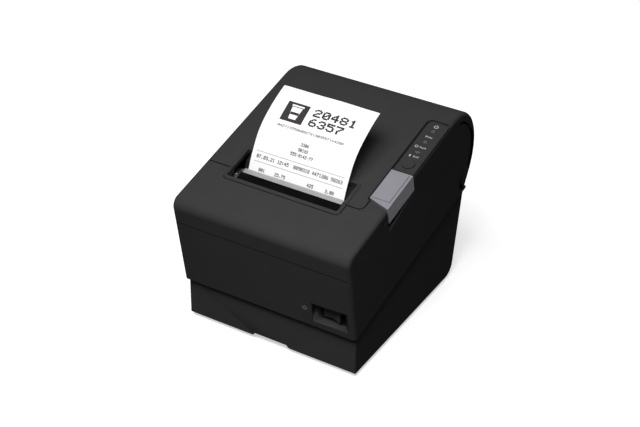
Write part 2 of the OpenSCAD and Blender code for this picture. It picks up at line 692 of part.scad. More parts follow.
module head_springs() {
    color(steel) for (x = [-28, 0, 28]) {
        translate([xc + x, -56.95, 100.5]) rotate([-90, 0, 0]) spring(6.3, 2.6, 0.4, 5);
    }
}

module head_ribbon() {
    color([0.9, 0.88, 0.8]) box([-18, -44.9, 17.7], [10, -44.7, 82.4]);
}

module platen_rubber() {
    color([0.16, 0.16, 0.16]) difference() {
        xrod(xc - rub, xc + rub, plat, pr);
        xrod(xc - rub - 1, xc + rub + 1, plat, 3);
    }
}

module platen_shaft() {
    color(steel) xrod(gx0 - 0.6, xc + mech_r + 4.1, plat, 3);
}

module platen_bearings() {
    color([0.75, 0.62, 0.32]) for (x = [-mech_l - 1.8, mech_r - 2.3]) difference() {
        xrod(xc + x, xc + x + 5.3, plat, 4.5);
        xrod(xc + x - 1, xc + x + 7, plat, 3.05);
    }
}

module platen_gear() {
    color([0.85, 0.85, 0.82]) difference() {
        slab(gx0, gx1) translate(plat) gear2d(n_platen, psi_p + 180 + 180/n_platen);
        xrod(gx0 - 1, gx1 + 1, plat, 3);
    }
}

module feed_motor() {
    color([0.35, 0.35, 0.37]) xrod(xc - mech_l + 1.2, xc - mech_l + 22.5, motor, 17.3);
    color(steel) {
        xrod(xc - mech_l, xc - mech_l + 1.2, motor, 5.9);
        xrod(gx0, xc - mech_l, motor, 1);
        // fixed post of the idler
        xrod(gx0 - 0.4, xc - mech_l + 1.2, idler, 2.46);
    }
}

idler_k = round((psi_m - psi_p)*n_idler/360);
idler_d = psi_p + idler_k*360/n_idler - psi_m;
module feed_pinion() {
    color([0.8, 0.66, 0.3]) difference() {
        slab(gx0, gx1) translate(motor)
            gear2d(n_pinion, psi_m + 180 - idler_d*n_idler/n_pinion + 180/n_pinion);
        xrod(gx0 - 1, gx1 + 1, motor, 1.04);
    }
}

module idler_gear() {
    color([0.85, 0.85, 0.82]) difference() {
        slab(gx0, gx1) translate(idler) gear2d(n_idler, psi_p);
        xrod(gx0 - 1, gx1 + 1, idler, 2.52);
        for (i = [0:4]) xrod(gx0 - 1, gx1 + 1, idler + 11.5*unit(20 + i*72), 4);
    }
}

module latch_hooks() {
    color(steel) {
        xrod(xc - mech_l - 1.7, deck_x + 6.7, latch, 2);
        for (x = [-mech_l - 1.7, mech_r + 1.6]) slab(xc + x, xc + x + 1.3) {
            translate(latch) circle(r = 4.4);
            polygon([[-57, 88.6], [-50, 84.6], [-44.6, 101], [-43.8, 103.4], [-41.7, 103.9], [-42.2, 107],
                [-46, 109.6], [-49, 108]]);
        }
        slab(deck_x + 2.1, deck_x + 5.1) {
            translate(latch) circle(r = 3.4);
            polygon([[-54, 89.2], [-61, 90.6], [-62, 89.6], [-57.2, 84.6], [-53, 83]]);
        }
    }
}

// ---------- cutter ----------
module cutter_frame() {
    color(steel) tilt() difference() {
        union() {
            box([-49.6, -88, -blade_h - 2.2], [41.4, -50, -blade_h - 1.2]);
            box([-49.6, -88, -bar_h - 1], [41.4, -54, -bar_h]);
            box([-49.6, -88, -blade_h - 1.2], [-48, -54, -bar_h - 1]);
            box([39.8, -88, -blade_h - 1.2], [41.4, -54, -bar_h - 1]);
            zrod(cut_gx, cut_yl, -blade_h - 1.2, -blade_h + 4, 2);
        }
        zrod(cut_gx, cut_yl, -bar_h - 2, 0, 9);
        zrod(cut_px, cut_yl, -blade_h - 4, -blade_h, 3);
        box([-35, -85, -bar_h - 2], [-26, -60, 0]);
    }
}

module tear_bar() {
    color([0.72, 0.73, 0.75]) tilt() {
        box([xc - rub, -54, -bar_h], [xc + rub, -48, -bar_h + 1.4]);
        // saw edge
        translate([0, 0, -bar_h + 0.6]) linear_extrude(height = 0.8) polygon(concat([[xc - rub, -48.2]],
            [for (i = [0:103]) [xc - rub + i*2*rub/103, i % 2 == 0 ? -47 : -46.2]], [[xc + rub, -48.2]]));
    }
}

module cutter_blade() {
    pitch = PI*gear_m;
    yl = tip_yl - 1.6;
    color([0.78, 0.79, 0.8]) tilt() translate([0, 0, -blade_h]) linear_extrude(height = blade_t) {
        polygon([[xc - pw - 1.25, yl - 14], [xc + pw + 1.25, yl - 14], [xc + pw + 1.25, yl + 0.3],
            [xc + 2, yl - 0.9], [xc - 2, yl - 0.9], [xc - pw - 1.25, yl + 0.3]]);
        translate([-33, -87]) square([33 + rack_x - 1.1*gear_m, 87 + yl - 13]);
        for (i = [-4:3]) translate([rack_x, cut_yl + (i + 0.5)*pitch])
            polygon([[-1.3*gear_m, -0.70], [0.7*gear_m, -0.27], [0.7*gear_m, 0.27], [-1.3*gear_m, 0.70]]);
    }
}

module cutter_gear() {
    color([0.2, 0.45, 0.3]) tilt() difference() {
        union() {
            translate([cut_gx, cut_yl, -blade_h - 0.6]) linear_extrude(height = 2) gear2d(n_rack, 0);
            zrod(cut_gx, cut_yl, -blade_h + 1.4, -4.7, 7.6);
            for (i = [0:11]) translate([cut_gx, cut_yl, -6]) rotate(i*30)
                box([7, -0.8, 0], [8.4, 0.8, 1.3]);
        }
        zrod(cut_gx, cut_yl, -blade_h - 2, -blade_h + 4.3, 2.05);
    }
}

module cutter_motor() {
    color([0.35, 0.35, 0.37]) tilt() {
        zrod(cut_px, cut_yl, -blade_h - 19, -blade_h - 2.2, 9);
        zrod(cut_px, cut_yl, -blade_h - 2.2, -blade_h + 1.6, 1);
    }
}

module cutter_pinion() {
    color([0.8, 0.66, 0.3]) tilt() difference() {
        translate([cut_px, cut_yl, -blade_h - 0.6]) linear_extrude(height = 2)
            gear2d(n_pinion, 180/n_pinion);
        zrod(cut_px, cut_yl, -blade_h - 2, -blade_h + 4, 1.04);
    }
}

module fixed_blade() {
    color([0.78, 0.79, 0.8]) slab(xc - rub - 0.6, xc + rub + 0.6)
        polygon([[-42.2, plane_z(-42.2, blade_h - blade_t - 0.2)], [-31.5, plane_z(-31.5, blade_h - blade_t - 0.2)],
            [-31.5, plane_z(-31.5, blade_h - blade_t - 1.2)], [-41.6, plane_z(-41.6, blade_h - blade_t - 1.2)]]);
}

// ---------- sensors and electronics ----------
module paper_sensor() {
    color(black) slab(xc - 6, xc + 6)
        polygon([web_at(0.38, 3.1), web_at(0.62, 3.1), web_at(0.62, 8), web_at(0.38, 8)]);
    color(board_green) slab(xc - 8, xc + 8)
        polygon([web_at(0.34, 7.9), web_at(0.66, 7.9), web_at(0.66, 9.2), web_at(0.34, 9.2)]);
}

module near_end_sensor() {
    color(black) box([xc - hold - 7, 7, 59], [xc - hold - 2.1, 17, 69]);
    color(board_green) box([xc - hold - 8.2, 5, 56], [xc - hold - 7, 19, 72]);
}

module main_board() {
    color(board_green) difference() {
        box([-pcb_x, -76, pcb_z], [pcb_x, bay_y - 0.5, pcb_z + pcb_t]);
        for (p = posts) zrod(p[0], p[1], 10, 20, 3.9);
        for (p = board_pts) zrod(p[0], p[1], 10, 20, 1.4);
    }
}

module board_chips() {
    z = pcb_z + pcb_t;
    color([0.08, 0.08, 0.09]) {
        box([-14, -6, z], [4, 12, z + 1.6]);
        box([-46, -14, z], [-34, -2, z + 1.4]);
        box([-52, 18, z], [-42, 24, z + 1.4]);
        box([12, 20, z], [20, 34, z + 1.4]);
        box([-20, -47.2, z], [12, -42.4, z + 2.0]);
        box([42, -46, z], [54, -36, z + 6]);
        box([-56, -46, z], [-50, -28, z + 6]);
        box([44, -20, z], [53, -11, z + 5]);
    }
}

module capacitors() {
    z = pcb_z + pcb_t;
    color([0.15, 0.16, 0.3]) {
        zrod(-46, 34, z, z + 18, 5);
        zrod(44, 20, z, z + 20, 6.3);
        zrod(44, 4, z, z + 16, 5);
        zrod(-26, -28, z, z + 12, 4);
    }
}

module socket_hole(x, w, z, h) {
    box([x - w/2, bay_y - 4, z], [x + w/2, bay_y + 4, z + h]);
}
module interface_plate() {
    color(steel) difference() {
        box([-58, bay_y, 8.8], [58, bay_y + 1.2, 43.4]);
        socket_hole(-44, 17, 15.8, 16);
        socket_hole(-22, 15, 15.8, 14);
        socket_hole(0, 13, 15.8, 12);
        socket_hole(32, 19, 17.6, 9.6);
        for (x = [-12.5, 12.5]) translate([32 + x, bay_y - 1, 22.4]) rotate([-90, 0, 0]) cylinder(h = 4, r = 1.6);
    }
}

module usb_socket() {
    z = pcb_z + pcb_t + 0.3;
    color(silver_grey) difference() {
        box([-6.2, bay_y - 14, z], [6.2, bay_y + 3, z + 11]);
        box([-4.6, bay_y - 7, z + 1.4], [4.6, bay_y + 4, z + 9.6]);
    }
    color(paper_white) box([-2.8, bay_y - 7, z + 3.9], [2.8, bay_y + 1.5, z + 7.1]);
}

module serial_socket() {
    z = pcb_z + pcb_t + 0.3;
    color(silver_grey) difference() {
        union() {
            box([16.5, bay_y - 4.2, z], [47.5, bay_y - 0.2, z + 12.4]);
            box([23.2, bay_y - 0.2, z + 2.2], [40.8, bay_y + 5, z + 10.8]);
            box([20, bay_y - 16, z], [44, bay_y - 4.2, z + 9]);
        }
        box([24, bay_y - 1, z + 3], [40, bay_y + 6, z + 10]);
        for (x = [19.5, 44.5]) translate([x, bay_y - 5, 22.4]) rotate([-90, 0, 0]) cylinder(h = 6, r = 1.3);
    }
    color(black) for (i = [0:4]) translate([26.5 + i*2.75, bay_y - 1, z + 7.6]) rotate([-90, 0, 0])
        cylinder(h = 4.5, r = 0.5);
    color(black) for (i = [0:3]) translate([27.9 + i*2.75, bay_y - 1, z + 4.9]) rotate([-90, 0, 0])
        cylinder(h = 4.5, r = 0.5);
}

module drawer_socket() {
    z = pcb_z + pcb_t + 0.3;
    color(black) difference() {
        box([-29, bay_y - 14, z], [-15, bay_y + 2.4, z + 13]);
        box([-27, bay_y - 9, z + 2], [-17, bay_y + 4, z + 9]);
        box([-24.6, bay_y - 9, z + 8.9], [-19.4, bay_y + 4, z + 11.4]);
    }
    color([0.8, 0.66, 0.3]) for (i = [0:5]) box([-24.9 + i, bay_y - 8.9, z + 2], [-24.4 + i, bay_y - 1, z + 2.5]);
}

module power_socket() {
    z = pcb_z + pcb_t + 0.3;
    color(black) {
        difference() {
            box([-52, bay_y - 13, z], [-36, bay_y + 2.4, z + 15]);
            translate([-44, bay_y - 8, z + 7.5]) rotate([-90, 0, 0]) cylinder(h = 12, r = 5.6);
        }
        translate([-44, bay_y - 9, z + 7.5]) rotate([-90, 0, 0]) cylinder(h = 6, r = 1.6);
    }
}

module case_screws() {
    color(steel) {
        for (p = tower_pts) {
            zrod(p[0], p[1], 5.4, 8, 3);
            zrod(p[0], p[1], 8, 31, 1.5);
        }
        zrod(-4, -20, 2.3, 2.7, 2.6);
        zrod(-4, -20, 2.7, 4.5, 1.15);
    }
}

module board_screws() {
    color(steel) for (p = board_pts) {
        zrod(p[0], p[1], pcb_z + pcb_t, pcb_z + pcb_t + 1.8, 2.6);
        zrod(p[0], p[1], 8, pcb_z + pcb_t, 1.15);
    }
}

base_case();
bottom_hatch();
rubber_feet();
main_case();
front_cover();
lid_shell();
lid_frame();
hinge_pins();
open_lever();
lever_pin();
control_panel();
feed_button();
status_lenses();
panel_board();
power_rocker();
power_switch();
roll_holder();
paper_roll();
roll_core();
paper_web();
receipt();
mech_frame();
print_head();
head_heatsink();
head_springs();
head_ribbon();
platen_rubber();
platen_shaft();
platen_bearings();
platen_gear();
feed_motor();
feed_pinion();
idler_gear();
latch_hooks();
cutter_frame();
tear_bar();
cutter_blade();
cutter_gear();
cutter_motor();
cutter_pinion();
fixed_blade();
paper_sensor();
near_end_sensor();
main_board();
board_chips();
capacitors();
interface_plate();
usb_socket();
serial_socket();
drawer_socket();
power_socket();
case_screws();
board_screws();
support_posts();
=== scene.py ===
"""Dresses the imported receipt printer: moulded shells, finishes, receipt, marks, floor, light and camera."""
import json
import math

import bmesh
import bpy
from mathutils import Matrix, Vector

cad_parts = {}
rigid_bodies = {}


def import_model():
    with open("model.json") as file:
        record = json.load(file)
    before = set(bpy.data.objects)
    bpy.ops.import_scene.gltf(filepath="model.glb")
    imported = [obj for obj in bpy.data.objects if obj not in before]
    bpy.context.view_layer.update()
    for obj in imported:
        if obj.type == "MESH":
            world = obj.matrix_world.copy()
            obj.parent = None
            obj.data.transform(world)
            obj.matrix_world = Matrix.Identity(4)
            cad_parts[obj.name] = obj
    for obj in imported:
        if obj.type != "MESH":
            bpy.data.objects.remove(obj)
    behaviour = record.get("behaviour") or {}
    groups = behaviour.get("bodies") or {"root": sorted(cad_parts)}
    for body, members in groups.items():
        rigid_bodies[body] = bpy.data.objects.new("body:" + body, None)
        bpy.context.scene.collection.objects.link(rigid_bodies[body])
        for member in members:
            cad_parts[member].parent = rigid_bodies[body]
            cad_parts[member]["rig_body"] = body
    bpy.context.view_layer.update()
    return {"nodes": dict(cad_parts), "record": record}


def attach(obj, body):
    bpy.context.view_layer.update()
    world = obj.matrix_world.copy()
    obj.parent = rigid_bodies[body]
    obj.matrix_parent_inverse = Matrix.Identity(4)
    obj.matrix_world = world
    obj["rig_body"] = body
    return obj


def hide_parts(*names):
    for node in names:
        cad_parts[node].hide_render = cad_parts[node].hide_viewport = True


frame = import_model()

NODES = frame["nodes"]
SLOT_OF = {part["node"]: part["material_slot"] for part in frame["record"]["subparts"]}
BODY_OF = {node: obj["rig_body"] for node, obj in NODES.items()}
MM = 0.001

# sloping top: a point at (x, along the slope, height above it) in millimetres
SLOPE = math.radians(13.28)
SLOPE_Z = 133.3
# front face: leans out towards the top
FRONT_Y, FRONT_Z, FRONT_LEAN = -85.5, 35.0, 0.177
HALF_WIDTH = 72.5
BASE_HALF_WIDTH = 71.0
PAPER_X = -4.1
PAPER_WIDTH = 79.5
PAPER_THICKNESS = 0.12


def on_slope(x, along, up=0.0):
    c, s = math.cos(SLOPE), math.sin(SLOPE)
    return Vector((x, along * c - up * s, SLOPE_Z + along * s + up * c)) * MM


def on_front(x, z, out=0.0):
    n = Vector((0, -1, -FRONT_LEAN)).normalized()
    return (Vector((x, FRONT_Y - FRONT_LEAN * (z - FRONT_Z), z)) + n * out) * MM


# ---------- finishes ----------
def noise(tree, coords, scale, detail=3.0, stretch=None):
    source = coords.outputs["Object"]
    if stretch:
        mapping = tree.nodes.new("ShaderNodeMapping")
        mapping.inputs["Scale"].default_value = stretch
        tree.links.new(source, mapping.inputs["Vector"])
        source = mapping.outputs["Vector"]
    node = tree.nodes.new("ShaderNodeTexNoise")
    node.inputs["Scale"].default_value = scale
    node.inputs["Detail"].default_value = detail
    tree.links.new(source, node.inputs["Vector"])
    return node.outputs["Fac"]


def spread(tree, value, low, high):
    node = tree.nodes.new("ShaderNodeMapRange")
    node.inputs["From Min"].default_value = 0.3
    node.inputs["From Max"].default_value = 0.7
    node.inputs["To Min"].default_value = low
    node.inputs["To Max"].default_value = high
    tree.links.new(value, node.inputs["Value"])
    return node.outputs["Result"]


def finish(name, colour, roughness, metallic=0.0, tint=0.05, tint_scale=60.0, rough_spread=0.04,
           grain=0.0, grain_scale=1500.0, stretch=None, specular=0.5, coat=0.0, second=None,
           transmission=0.0):
    """Principled surface with mottled colour, uneven gloss and a moulded or brushed grain."""
    mat = bpy.data.materials.new(name)
    mat.use_nodes = True
    tree = mat.node_tree
    shader = tree.nodes["Principled BSDF"]
    coords = tree.nodes.new("ShaderNodeTexCoord")
    shader.inputs["Metallic"].default_value = metallic
    shader.inputs["Specular IOR Level"].default_value = specular
    shader.inputs["Coat Weight"].default_value = coat
    shader.inputs["Transmission Weight"].default_value = transmission

    ramp = tree.nodes.new("ShaderNodeValToRGB")
    dark = second or [c * (1 - tint) for c in colour]
    light = [min(1.0, c * (1 + tint)) for c in colour]
    ramp.color_ramp.elements[0].position = 0.35
    ramp.color_ramp.elements[1].position = 0.65
    ramp.color_ramp.elements[0].color = (*dark, 1)
    ramp.color_ramp.elements[1].color = (*light, 1)
    tree.links.new(noise(tree, coords, tint_scale, 4.0, stretch), ramp.inputs["Fac"])
    tree.links.new(ramp.outputs["Color"], shader.inputs["Base Color"])

    patches = noise(tree, coords, tint_scale * 1.7, 2.0, stretch)
    tree.links.new(spread(tree, patches, roughness - rough_spread, roughness + rough_spread),
                   shader.inputs["Roughness"])
    if grain:
        bump = tree.nodes.new("ShaderNodeBump")
        bump.inputs["Strength"].default_value = 1.0
        bump.inputs["Distance"].default_value = grain * MM
        tree.links.new(noise(tree, coords, grain_scale, 2.0, stretch), bump.inputs["Height"])
        tree.links.new(bump.outputs["Normal"], shader.inputs["Normal"])
    return mat


BRUSHED = (0.06, 1.0, 1.0)
CHARCOAL = dict(colour=(0.0355, 0.0355, 0.0360), roughness=0.5, tint=0.02, rough_spread=0.02, grain=0.012,
                specular=0.0)
FINISHES = {
    "case_plastic": CHARCOAL,
    "base_plastic": CHARCOAL,
    "inner_plastic": dict(colour=(0.014, 0.014, 0.015), roughness=0.6, grain=0.02, specular=0.0),
    "foot_rubber": dict(colour=(0.02, 0.02, 0.02), roughness=0.85, tint=0.15, grain=0.05, grain_scale=900.0),
    "lever_plastic": dict(colour=(0.205, 0.202, 0.225), roughness=0.46, tint=0.02, grain=0.01,
                          specular=0.06),
    "panel_plastic": dict(colour=(0.034, 0.034, 0.0345), roughness=0.4, tint=0.03, grain=0.006,
                          specular=0.005),
    "lens": dict(colour=(0.075, 0.08, 0.075), roughness=0.3, tint=0.1, tint_scale=400.0, specular=0.1,
                 transmission=0.2),
    "paper": dict(colour=(0.86, 0.86, 0.865), roughness=0.62, tint=0.012, tint_scale=350.0, grain=0.006,
                  grain_scale=2500.0, specular=0.3),
    "core": dict(colour=(0.42, 0.29, 0.16), roughness=0.85, tint=0.12, tint_scale=250.0, grain=0.03),
    "steel": dict(colour=(0.56, 0.57, 0.58), roughness=0.34, metallic=1.0, tint=0.08, tint_scale=500.0,
                  stretch=BRUSHED, grain=0.004),
    "blade_steel": dict(colour=(0.44, 0.44, 0.45), roughness=0.36, metallic=1.0, tint=0.06, tint_scale=900.0,
                        stretch=(1.0, 0.06, 1.0), grain=0.003),
    "aluminium": dict(colour=(0.70, 0.71, 0.72), roughness=0.38, metallic=1.0, tint=0.06, tint_scale=500.0,
                      stretch=BRUSHED, grain=0.004),
    "ceramic": dict(colour=(0.66, 0.62, 0.50), roughness=0.25, tint=0.05, tint_scale=300.0, coat=0.3),
    "flat_cable": dict(colour=(0.66, 0.62, 0.50), roughness=0.4, tint=0.3, tint_scale=900.0,
                       stretch=(1.0, 0.01, 0.01)),
    "platen_rubber": dict(colour=(0.022, 0.022, 0.022), roughness=0.8, tint=0.1, grain=0.01),
    "bronze": dict(colour=(0.52, 0.36, 0.15), roughness=0.36, metallic=1.0, tint=0.12, tint_scale=700.0,
                   grain=0.006),
    "gear_plastic": dict(colour=(0.62, 0.62, 0.57), roughness=0.42, tint=0.04, grain=0.006),
    "knob_plastic": dict(colour=(0.035, 0.13, 0.07), roughness=0.42, tint=0.06, grain=0.008),
    "motor_can": dict(colour=(0.10, 0.10, 0.11), roughness=0.38, metallic=0.7, tint=0.1, tint_scale=400.0,
                      stretch=BRUSHED, grain=0.004),
    "board": dict(colour=(0.02, 0.12, 0.055), second=(0.012, 0.075, 0.035), roughness=0.3, tint=0.1,
                  tint_scale=420.0, stretch=(1.0, 0.25, 1.0), coat=0.3),
    "chip_epoxy": dict(colour=(0.02, 0.02, 0.022), roughness=0.5, tint=0.1, grain=0.01),
    "socket_plastic": dict(colour=(0.018, 0.018, 0.02), roughness=0.42, tint=0.08, grain=0.01),
    # added by this script
    # painted shade: near-black surface for strips laid along the seams and round the slot rim, standing in
    # for the shade in the gaps; also the dark tear bar carrier
    "seam": dict(colour=(0.004, 0.004, 0.004), roughness=0.8, tint=0.1, grain=0.005, specular=0.0),
    "ink": dict(colour=(0.022, 0.018, 0.021), roughness=0.6, tint=0.3, tint_scale=1200.0, specular=0.2),
    "marking": dict(colour=(0.52, 0.52, 0.54), roughness=0.5, tint=0.05, tint_scale=900.0),
    "front_marking": dict(colour=(0.10, 0.10, 0.105), roughness=0.5, tint=0.08, tint_scale=900.0),
}
SURFACE = {name: finish(name, **values) for name, values in FINISHES.items()}

for node, obj in NODES.items():
    obj.data.materials.clear()
    obj.data.materials.append(SURFACE[SLOT_OF[node]])


# ---------- moulded shells ----------
def add_piece(name, bm, surface, body, smooth=38.0):
    """Turns a bmesh, in metres in the row frame, into a shaded piece that rides on a body."""
    mesh = bpy.data.meshes.new(name)
    bmesh.ops.recalc_face_normals(bm, faces=bm.faces)
    bm.to_mesh(mesh)
    bm.free()
    obj = bpy.data.objects.new(name, mesh)
    bpy.context.scene.collection.objects.link(obj)
    mesh.materials.append(SURFACE[surface])
    mesh.shade_smooth()
    mesh.set_sharp_from_angle(angle=math.radians(smooth))
    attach(obj, body)
    return obj


# Outline of the lid's crest and rear, seen from the side, in millimetres. Each is a run of clockwise arcs
# (radius, turn) from where the slope ends. The cast form has a softer crest than the plain solid.
SOLID_CREST, SOLID_ARCS = 62.0, ((15.0, 46.28), (72.0, 19.0), (30.0, 38.0), (46.0, 42.0))
CAST_CREST, CAST_ARCS = 51.5, ((32.75, 49.86), (29.7, 23.7), (42.0, 32.1), (45.0, 25.9), (400.0, 1.3))
BEND_FROM_Y, BEND_FLOOR_Z, BEND_FULL_Z = 44.0, 73.0, 78.5
BEND_SHARE = 0.9
BEND_FULL_DEPTH, BEND_NO_DEPTH = 10.0, 22.0
SAMPLES = 260
ARC_STEPS = 24


def slope_z(y):
    return SLOPE_Z + y * math.tan(SLOPE)


def arc_points(y, z, heading, radius, turn, steps):
    """Points along a clockwise arc; heading and turn are in degrees."""
    a = math.radians(heading)
    points = []
    for k in range(1, steps + 1):
        b = math.radians(heading - turn * k / steps)
        points.append((y + radius * (math.sin(a) - math.sin(b)), z + radius * (math.cos(b) - math.cos(a))))
    return points


def arcs_outline(crest, arcs):
    """Points (y, z) from the slope over the crest and down the rear."""
    points = [(BEND_FROM_Y, slope_z(BEND_FROM_Y)), (crest, slope_z(crest))]
    heading = math.degrees(SLOPE)
    for radius, turn in arcs:
        points += arc_points(*points[-1], heading, radius, turn, ARC_STEPS)
        heading -= turn
    return points


def evenly(points, count):
    """The same outline as count points at even spacing, each with its inward normal."""
    lengths = [0.0]
    for a, b in zip(points, points[1:]):
        lengths.append(lengths[-1] + math.dist(a, b))
    found, k = [], 0
    for n in range(count):
        want = lengths[-1] * n / (count - 1)
        while k < len(points) - 2 and lengths[k + 1] < want:
            k += 1
        t = (want - lengths[k]) / (lengths[k + 1] - lengths[k])
        a, b = points[k], points[k + 1]
        found.append((a[0] + (b[0] - a[0]) * t, a[1] + (b[1] - a[1]) * t))
    normals = []
    for n in range(count):
        a, b = found[max(0, n - 1)], found[min(count - 1, n + 1)]
        size = math.dist(a, b)
        normals.append(((b[1] - a[1]) / size, -(b[0] - a[0]) / size))
    return found, normals


SOLID_LINE, SOLID_NORMALS = evenly(arcs_outline(SOLID_CREST, SOLID_ARCS), SAMPLES)
CAST_LINE, CAST_NORMALS = evenly(arcs_outline(CAST_CREST, CAST_ARCS), SAMPLES)


def blend_between(value, low, high):
    t = min(1.0, max(0.0, (value - low) / (high - low)))
    return t * t * (3 - 2 * t)


def recast(y, z):
    """Moves a point of the solid's rear to the cast outline, at the same depth below the skin."""
    if y < BEND_FROM_Y or z < BEND_FLOOR_Z:
        return y, z
    best = min(range(SAMPLES), key=lambda n: (SOLID_LINE[n][0] - y) ** 2 + (SOLID_LINE[n][1] - z) ** 2)
    point, normal = SOLID_LINE[best], SOLID_NORMALS[best]
    depth = (y - point[0]) * normal[0] + (z - point[1]) * normal[1]
    along = (y - point[0]) * -normal[1] + (z - point[1]) * normal[0]
    new, new_normal = CAST_LINE[best], CAST_NORMALS[best]
    ny = new[0] + depth * new_normal[0] - along * new_normal[1]
    nz = new[1] + depth * new_normal[1] + along * new_normal[0]
    share = BEND_SHARE * blend_between(z, BEND_FLOOR_Z, BEND_FULL_Z)
    share *= 1 - blend_between(depth, BEND_FULL_DEPTH, BEND_NO_DEPTH)
    return y + (ny - y) * share, z + (nz - z) * share


NOSE_RADIUS, NOSE_STEPS = 8.0, 18
FRONT_FOOT_Z = 20.0


def front_outline():
    """Points up the front face, over the nose and along the slope."""
    lean = math.degrees(math.atan(FRONT_LEAN)) + 90
    corner_y = (FRONT_Y - FRONT_LEAN * (SLOPE_Z - FRONT_Z)) / (1 + FRONT_LEAN * math.tan(SLOPE))
    corner_z = slope_z(corner_y)
    turn = lean - math.degrees(SLOPE)
    back = NOSE_RADIUS * math.tan(math.radians(turn / 2))
    a = math.radians(lean)
    y, z = corner_y - back * math.cos(a), corner_z - back * math.sin(a)
    points = [(FRONT_Y - FRONT_LEAN * (FRONT_FOOT_Z - FRONT_Z), FRONT_FOOT_Z), (y, z)]
    return points + arc_points(y, z, lean, NOSE_RADIUS, turn, NOSE_STEPS)


def base_outline():
    """Points down the base's front, along its underside, round the rear corner and up its leaning rear."""
    corner_y, corner_z, radius, step = 59.8, 13.5, 11, 8.09
    corner = [math.radians(step * k) for k in range(1, 11)]
    return [(-82.0, 60.0), (-82.0, 4.0), (-80.5, 2.5), (corner_y, 2.5),
            *((corner_y + radius * math.sin(a), corner_z - radius * math.cos(a)) for a in corner),
            (80.8, 76.0)]


CASE_LINE = front_outline() + arcs_outline(CAST_CREST, CAST_ARCS)
BASE_LINE = base_outline()
# how far outside the outline, in millimetres, skin may lie and still be rounded
OUTSIDE_REACH = 0.9


def depth_below(line, y, z, outside_sign):
    """Depth of (y, z) under an open outline, and the outline's inward normal there."""
    best = (1e9, 0.0, (0.0, 0.0))
    for a, b in zip(line, line[1:]):
        dy, dz = b[0] - a[0], b[1] - a[1]
        size = math.hypot(dy, dz)
        t = min(1.0, max(0.0, ((y - a[0]) * dy + (z - a[1]) * dz) / (size * size)))
        gap = math.hypot(y - a[0] - dy * t, z - a[1] - dz * t)
        if gap < best[0]:
            normal = (dz / size * outside_sign, -dy / size * outside_sign)
            depth = (y - a[0]) * normal[0] + (z - a[1]) * normal[1]
            best = (gap, depth, normal)
    return best[1], best[2]


def round_side_edges(bm, line, outside_sign, half_width, radius):
    """Rounds the long edges between side walls and outer skin by sinking what lies in their corner."""
    for v in bm.verts:
        past = abs(v.co.x) / MM - (half_width - radius)
        if past <= 0.001:
            continue
        sink = radius - math.sqrt(max(0.0, radius * radius - min(past, radius) ** 2))
        y, z = v.co.y / MM, v.co.z / MM
        depth, normal = depth_below(line, y, z, outside_sign)
        if -OUTSIDE_REACH < depth < sink:
            v.co.y = (y + normal[0] * (sink - depth)) * MM
            v.co.z = (z + normal[1] * (sink - depth)) * MM


def cut_across(bm, point, normal):
    geometry = bm.verts[:] + bm.edges[:] + bm.faces[:]
    bmesh.ops.bisect_plane(bm, geom=geometry, dist=1e-6, plane_co=point, plane_no=normal)


def show_moulding(node, bm, smooth, weight):
    """Puts a moulded form in the place of a CAD node, with even shading over its flat faces."""
    obj = add_piece(node + "_moulded", bm, SLOT_OF[node], BODY_OF[node], smooth)
    weighted = obj.modifiers.new("even_shading", "WEIGHTED_NORMAL")
    weighted.keep_sharp = True
    weighted.weight = weight
    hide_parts(node)


SIDE_CUTS, CREST_CUTS, CREST_CUT_PITCH = 6, 13, 1.6


def cast_shell(node, line, outside_sign, half_width, radius, rear=False):
    """A moulded shell in place of a CAD node, with rounded side edges and, at the rear, the softer crest."""
    bm = bmesh.new()
    bm.from_mesh(NODES[node].data)
    bmesh.ops.remove_doubles(bm, verts=bm.verts, dist=2e-6)
    for k in range(SIDE_CUTS):
        x = (half_width - radius + radius * math.sin(math.radians(90 / SIDE_CUTS * k))) * MM
        cut_across(bm, (x, 0, 0), (1, 0, 0))
        cut_across(bm, (-x, 0, 0), (1, 0, 0))
    if rear:
        for k in range(CREST_CUTS):
            cut_across(bm, on_slope(0, BEND_FROM_Y + 1 + CREST_CUT_PITCH * k),
                       (0, math.cos(SLOPE), math.sin(SLOPE)))
        for v in bm.verts:
            y, z = recast(v.co.y / MM, v.co.z / MM)
            v.co.y, v.co.z = y * MM, z * MM
    round_side_edges(bm, line, outside_sign, half_width, radius)
    bmesh.ops.remove_doubles(bm, verts=bm.verts, dist=4e-6)
    bmesh.ops.dissolve_degenerate(bm, edges=bm.edges, dist=2e-6)
    show_moulding(node, bm, 34.0, 60)


GROOVE_REACH = 5.0


def softened(node, radius, segments, least_angle=35.0, groove=0.0):
    """A small moulding in place of a CAD node, with all its outer edges rounded.

    A groove, in millimetres, draws its left and rear sides in, so that the gap round it shows.
    """
    bm = bmesh.new()
    bm.from_mesh(NODES[node].data)
    if groove:
        left = min(v.co.x for v in bm.verts) / MM
        rear = max(v.co.y for v in bm.verts) / MM
        for v in bm.verts:
            v.co.x += groove * max(0.0, 1 - (v.co.x / MM - left) / GROOVE_REACH) * MM
            back = groove * max(0.0, 1 - (rear - v.co.y / MM) / GROOVE_REACH) * MM
            v.co.y -= back * math.cos(SLOPE)
            v.co.z -= back * math.sin(SLOPE)
    bmesh.ops.remove_doubles(bm, verts=bm.verts, dist=2e-6)
    bmesh.ops.dissolve_limit(bm, angle_limit=math.radians(0.4), verts=bm.verts, edges=bm.edges,
                             use_dissolve_boundaries=False)
    bm.normal_update()
    edges = [e for e in bm.edges if len(e.link_faces) == 2
             and e.calc_face_angle_signed(0.0) > math.radians(least_angle)]
    bmesh.ops.bevel(bm, geom=edges, offset=radius * MM, segments=segments, profile=0.5, affect="EDGES",
                    clamp_overlap=True, loop_slide=True)
    bmesh.ops.remove_doubles(bm, verts=bm.verts, dist=1e-6)
    show_moulding(node, bm, 38.0, 80)


